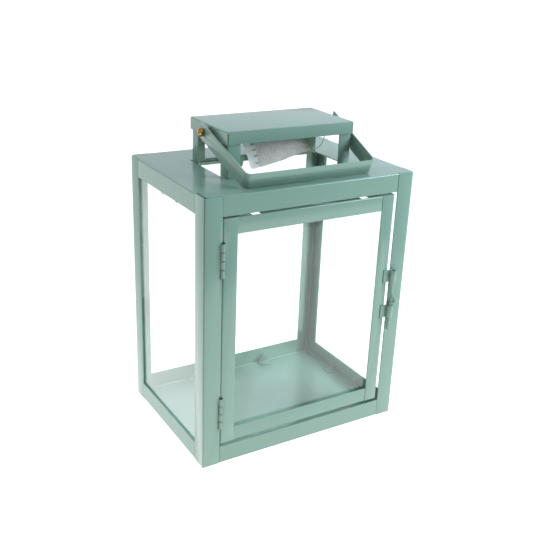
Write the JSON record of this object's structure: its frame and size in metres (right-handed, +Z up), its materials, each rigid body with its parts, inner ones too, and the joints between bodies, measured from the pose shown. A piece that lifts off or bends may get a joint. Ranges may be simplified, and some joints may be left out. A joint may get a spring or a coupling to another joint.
{
  "type": "candle lantern",
  "caption": "Painted sheet metal candle lantern with glass sides, a hinged glass door with a pin latch, a raised cap over a vent and a flat bail handle.",
  "frame": {"origin": "middle of the base's underside, where the lantern stands", "axes": "+Z up, +X along the front to the latch side, -Y out of the door"},
  "size_m": [0.21, 0.1581, 0.2924],
  "materials": {
    "sage_paint": "semi-gloss sage green paint",
    "clear_glass": "clear float glass, cut edges",
    "brass": "brass plated steel",
    "nonwoven": "thin white nonwoven, heat sealed",
    "cotton_string": "thin twisted string"
  },
  "bodies": {
    "frame": {"base_tray": "sage_paint", "cap": "sage_paint", "cap_leg_front_left": "sage_paint", "cap_leg_front_right": "sage_paint", "cap_leg_rear_left": "sage_paint", "cap_leg_rear_right": "sage_paint", "corner_post_front_left": "sage_paint", "corner_post_front_right": "sage_paint", "corner_post_rear_left": "sage_paint", "corner_post_rear_right": "sage_paint", "desiccant_sachet": "nonwoven", "hinge_lower_frame_leaf": "sage_paint", "hinge_lower_pin": "sage_paint", "hinge_upper_frame_leaf": "sage_paint", "hinge_upper_pin": "sage_paint", "lower_clip_left_a": "sage_paint", "lower_clip_left_b": "sage_paint", "lower_clip_rear_a": "sage_paint", "lower_clip_rear_b": "sage_paint", "lower_clip_right_a": "sage_paint", "lower_clip_right_b": "sage_paint", "pane_left": "clear_glass", "pane_rear": "clear_glass", "pane_right": "clear_glass", "pivot_nut_left": "brass", "pivot_nut_right": "brass", "pivot_screw_left": "brass", "pivot_screw_right": "brass", "pivot_spacer_left": "brass", "pivot_spacer_right": "brass", "roof_panel": "sage_paint", "sachet_string": "cotton_string", "upper_clip_left_a": "sage_paint", "upper_clip_left_b": "sage_paint", "upper_clip_rear_a": "sage_paint", "upper_clip_rear_b": "sage_paint", "upper_clip_right_a": "sage_paint", "upper_clip_right_b": "sage_paint"},
    "door": {"door_pane": "clear_glass", "door_rail_bottom": "sage_paint", "door_rail_top": "sage_paint", "door_stile_left": "sage_paint", "door_stile_right": "sage_paint", "hinge_lower_door_leaf": "sage_paint", "hinge_upper_door_leaf": "sage_paint", "latch_strap_lower": "sage_paint", "latch_strap_upper": "sage_paint"},
    "latch": {"latch_pin": "sage_paint"},
    "bail": {"bail_handle": "sage_paint"}
  },
  "joints": [
    {"name": "door_swing", "type": "hinge", "parent": "frame", "child": "door", "pos_m": [-0.08805, -0.07655, 0.1259], "axis": [0, 0, -1], "range_deg": [0, 170]},
    {"name": "latch_lift", "type": "slide", "parent": "door", "child": "latch", "axis": [0, 0, 1], "range_m": [0, 0.0085]},
    {"name": "bail_swing", "type": "hinge", "parent": "frame", "child": "bail", "pos_m": [0, 0, 0.2838], "axis": [-1, 0, 0], "range_deg": [0, 223.2]}
  ]
}
